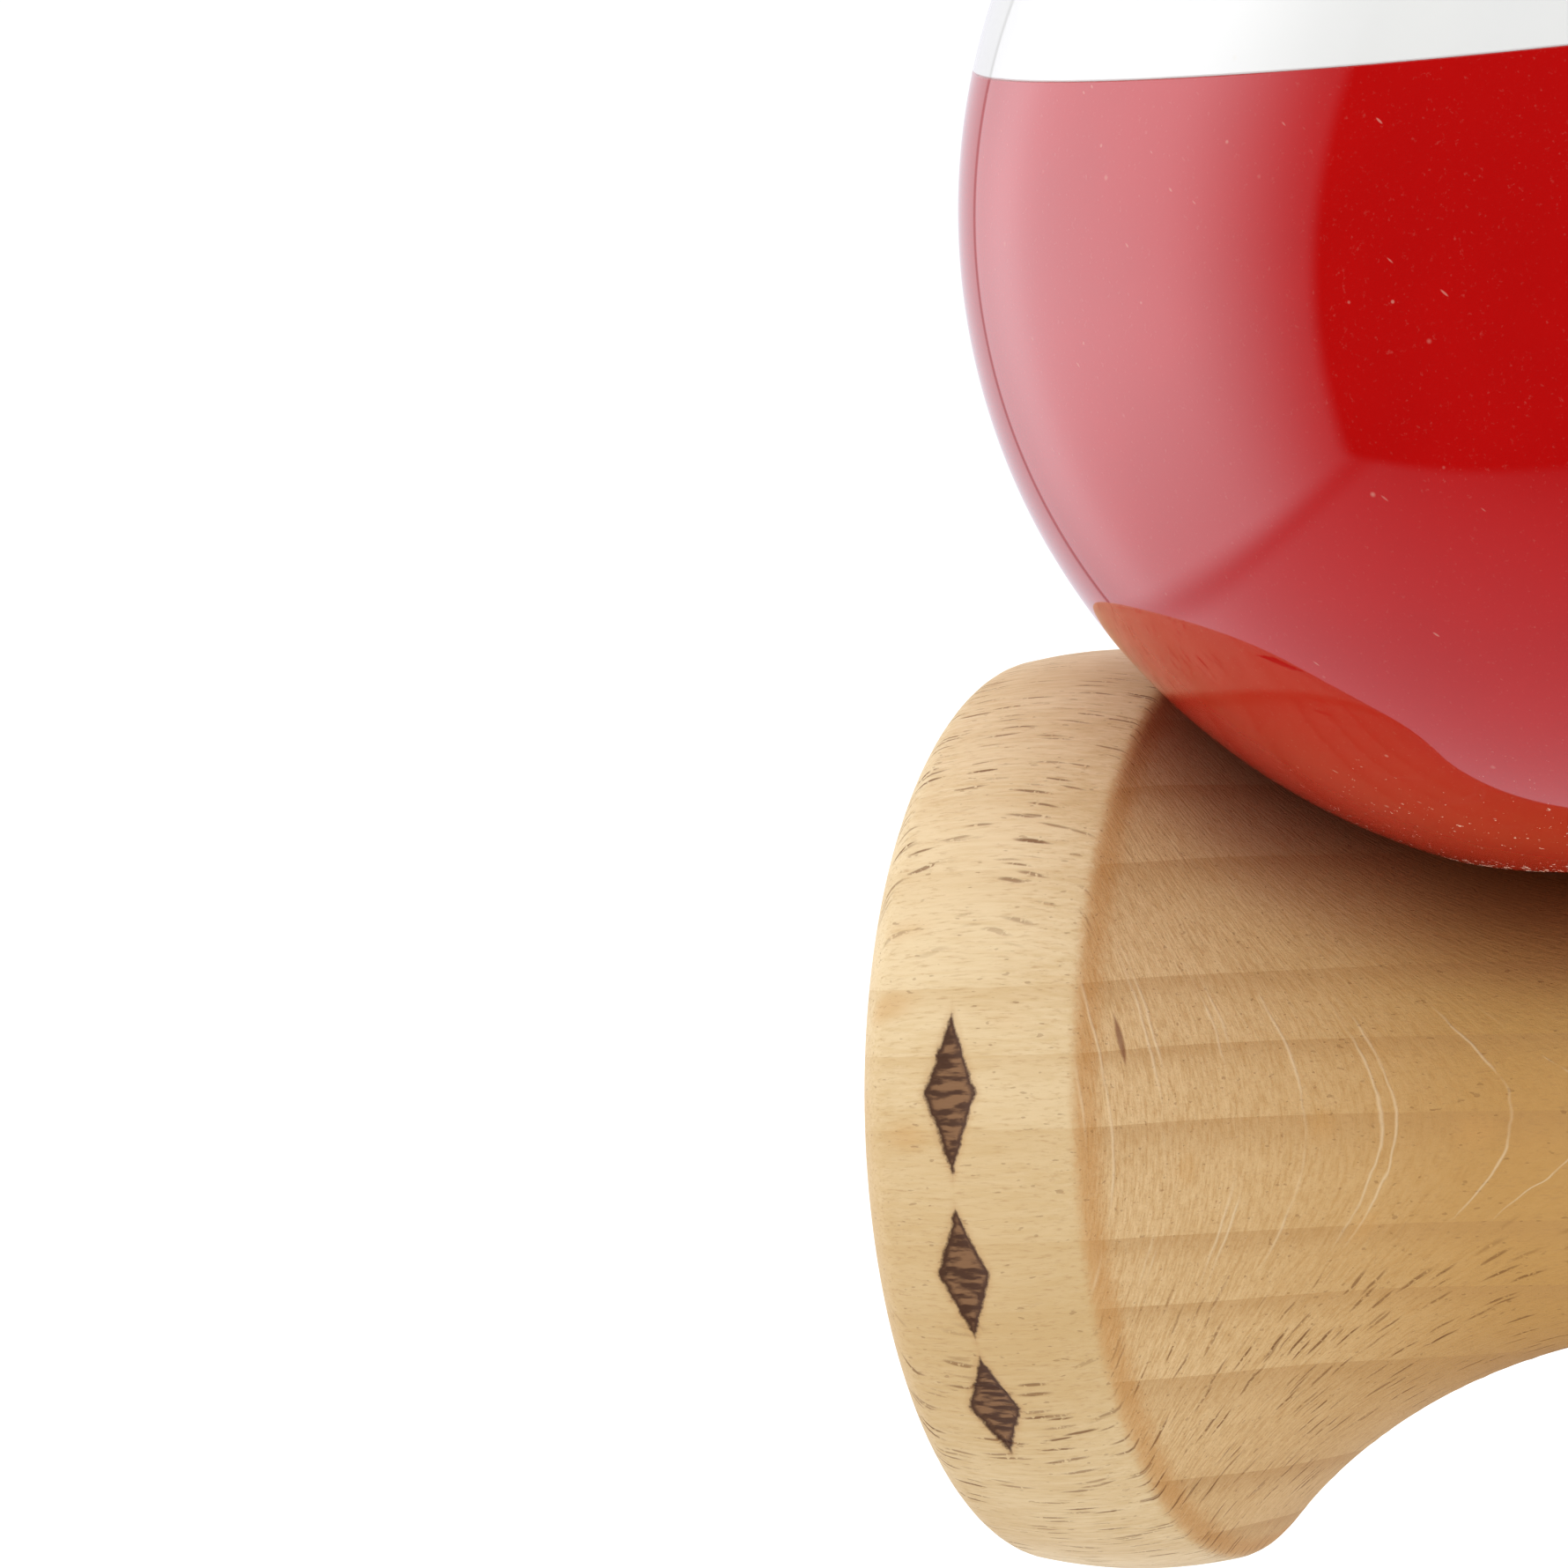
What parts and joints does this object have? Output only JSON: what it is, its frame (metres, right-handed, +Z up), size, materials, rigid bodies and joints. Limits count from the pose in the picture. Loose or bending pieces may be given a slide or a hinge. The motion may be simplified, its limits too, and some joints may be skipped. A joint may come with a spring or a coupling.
{
  "type": "kendama",
  "caption": "Turned wooden cup-and-ball toy: a handle with a spike and base cup, a cross-piece with two cups, and a lacquered ball that sits on the spike.",
  "frame": {"origin": "middle of the base cup's rim, on the surface that the toy stands on", "axes": "+Z up the handle to the spike and ball; X along the cross-piece, with the big cup at -X; the cord's hole in the cross-piece faces -Y"},
  "size_m": [0.0686, 0.06, 0.1847],
  "materials": {
    "beech": "turned, fine-sanded, bare",
    "raw_beech": "turned, unsanded, bare",
    "red_lacquer": "high gloss lacquer",
    "white_lacquer": "high gloss lacquer"
  },
  "bodies": {
    "handle": {"handle": "beech", "cross_piece": "beech"},
    "bead": {"string_bead": "raw_beech"},
    "ball": {"ball": "raw_beech", "lower_lacquer": "red_lacquer", "stripe_lacquer": "white_lacquer", "upper_lacquer": "red_lacquer"}
  },
  "joints": [
    {"name": "ball_lift", "type": "slide", "parent": "handle", "child": "bead", "axis": [0, 0, 1], "range_m": [0, 0.06]},
    {"name": "ball_spin", "type": "hinge", "parent": "bead", "child": "ball", "pos_m": [0, 0, 0.15477], "axis": [0, 0, 1], "continuous": true}
  ]
}
